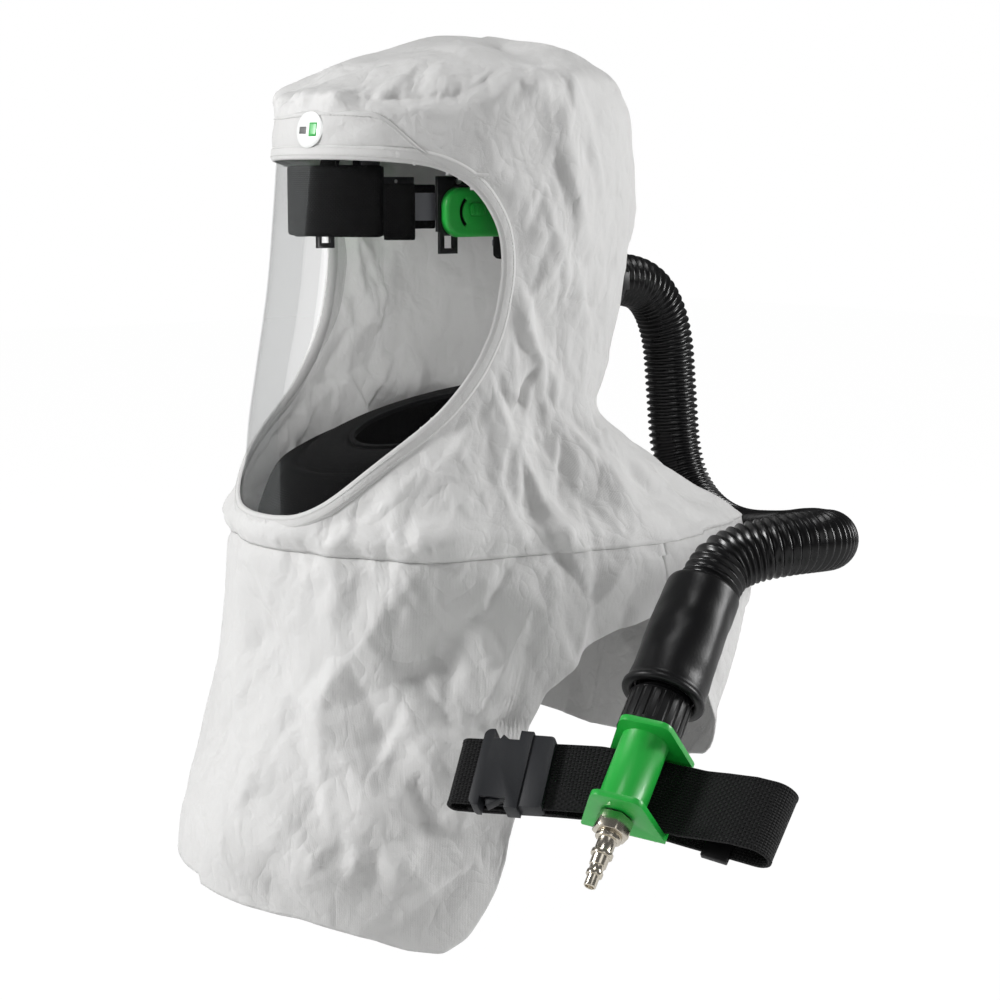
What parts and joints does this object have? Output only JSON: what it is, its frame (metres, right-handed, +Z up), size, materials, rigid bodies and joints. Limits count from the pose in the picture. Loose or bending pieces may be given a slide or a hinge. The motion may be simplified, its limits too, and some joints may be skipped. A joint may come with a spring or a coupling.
{
  "type": "supplied air respirator hood",
  "caption": "Loose hood with a wide visor and cape, an adjustable head harness, a breathing hose and a belt-worn air valve.",
  "frame": {"origin": "centre of the headband", "axes": "+Z up, the wearer faces -Y, the wearer's left is +X"},
  "size_m": [0.5985, 0.4997, 0.6571],
  "materials": {
    "hood_fabric": "matt spunbond non-woven",
    "lens": "clear flexible sheet",
    "binding": "rolled and stitched edge",
    "label": "printed sticker",
    "collar_knit": "black knit",
    "elastic": "covered elastic",
    "black_plastic": "moulded",
    "grey_plastic": "moulded",
    "green_plastic": "moulded",
    "black_foam": "laminated foam",
    "rubber": "moulded",
    "hose_rubber": "corrugated",
    "webbing": "woven polypropylene",
    "nickel": "nickel plated",
    "brass": "turned",
    "sintered": "sintered",
    "steel": "zinc plated"
  },
  "bodies": {
    "root": {"hood_crown": "hood_fabric", "front_bib": "hood_fabric", "rear_cape": "hood_fabric", "brow_band": "hood_fabric", "visor_lens": "lens", "visor_binding": "binding", "brow_label": "label", "inner_collar": "collar_knit", "collar_elastic": "elastic", "inlet_flange": "black_plastic", "flange_screws": "steel", "inlet_backing": "black_plastic", "hose_top_cuff": "black_plastic", "inlet_elbow": "grey_plastic", "air_duct": "grey_plastic", "headband_strap": "grey_plastic", "brow_pad": "black_foam", "sweatband": "black_foam", "temple_pads": "black_foam", "crown_frame": "black_plastic", "crown_cross_strap": "black_plastic", "crown_pad": "black_foam", "bracket_screws": "steel", "side_bracket_left": "black_plastic", "side_bracket_right": "black_plastic", "lock_cover_left": "green_plastic", "lock_cover_right": "green_plastic", "button_spring_left": "steel", "button_spring_right": "steel", "ratchet_housing": "black_plastic", "ratchet_cover": "black_plastic", "nape_pad": "black_foam", "valve_body": "green_plastic", "silencer": "sintered", "flow_orifice": "brass", "poppet_spring": "steel", "hex_fitting": "nickel", "seal_washer": "rubber", "quick_nipple": "nickel", "belt_plate": "green_plastic", "belt_plate_screws": "steel", "swivel_tail": "black_plastic", "coupling_o_ring": "rubber", "hose_sleeve": "rubber", "breathing_hose": "hose_rubber", "belt_webbing": "webbing", "buckle_female": "black_plastic", "buckle_male": "black_plastic"},
    "lock_ring": {"inlet_lock_ring": "black_plastic"},
    "knob": {"ratchet_knob": "black_plastic", "ratchet_pinion": "black_plastic"},
    "tail_left": {"rack_tail_left": "grey_plastic"},
    "tail_right": {"rack_tail_right": "grey_plastic"},
    "button_left": {"lock_button_left": "green_plastic"},
    "button_right": {"lock_button_right": "green_plastic"},
    "nut": {"coupling_nut": "black_plastic"},
    "poppet": {"check_poppet": "brass"},
    "keeper": {"belt_keeper": "black_plastic"},
    "prong_upper": {"buckle_prong_upper": "black_plastic"},
    "prong_lower": {"buckle_prong_lower": "black_plastic"}
  },
  "joints": [
    {"name": "lock_ring_turn", "type": "hinge", "parent": "root", "child": "lock_ring", "pos_m": [0, 0.177, -0.062], "axis": [0, 1, 0], "range_deg": [0, 30]},
    {"name": "knob_turn", "type": "hinge", "parent": "root", "child": "knob", "pos_m": [0, 0.11, -0.02], "axis": [0, -1, 0], "range_deg": [0, 150]},
    {"name": "left_tail_slide", "type": "slide", "parent": "root", "child": "tail_left", "axis": [-1, 0, 0], "range_m": [0, 0.02]},
    {"name": "right_tail_slide", "type": "slide", "parent": "root", "child": "tail_right", "axis": [1, 0, 0], "range_m": [0, 0.02]},
    {"name": "left_button_press", "type": "slide", "parent": "root", "child": "button_left", "axis": [-1, 0, 0], "range_m": [0, 0.002], "stiffness_N_per_m": 400, "springref_m": -0.0005, "deforming": ["button_spring_left"]},
    {"name": "right_button_press", "type": "slide", "parent": "root", "child": "button_right", "axis": [1, 0, 0], "range_m": [0, 0.002], "stiffness_N_per_m": 400, "springref_m": -0.0005, "deforming": ["button_spring_right"]},
    {"name": "nut_turn", "type": "hinge", "parent": "root", "child": "nut", "pos_m": [0.32367, -0.04972, -0.33009], "axis": [-0.274, 0.673, 0.687], "continuous": true},
    {"name": "poppet_lift", "type": "slide", "parent": "root", "child": "poppet", "axis": [-0.274, 0.673, 0.687], "range_m": [0, 0.002], "stiffness_N_per_m": 300, "springref_m": -0.001, "deforming": ["poppet_spring"]},
    {"name": "keeper_slide", "type": "slide", "parent": "root", "child": "keeper", "axis": [0.9014, 0.4088, -0.1425], "range_m": [-0.015, 0.015]},
    {"name": "upper_prong_squeeze", "type": "hinge", "parent": "root", "child": "prong_upper", "pos_m": [0.2602, -0.09563, -0.35817], "axis": [0.3777, -0.5817, 0.7204], "range_deg": [0, 7], "stiffness_Nm_per_rad": 0.05, "springref_deg": -2.86},
    {"name": "lower_prong_squeeze", "type": "hinge", "parent": "root", "child": "prong_lower", "pos_m": [0.27574, -0.11817, -0.38452], "axis": [-0.3777, 0.5817, -0.7204], "range_deg": [0, 7], "stiffness_Nm_per_rad": 0.05, "springref_deg": -2.86}
  ],
  "couplings": [
    {"joint": "left_tail_slide", "follows": "knob_turn", "m_per_rad": 0.0075},
    {"joint": "right_tail_slide", "follows": "knob_turn", "m_per_rad": 0.0075}
  ]
}
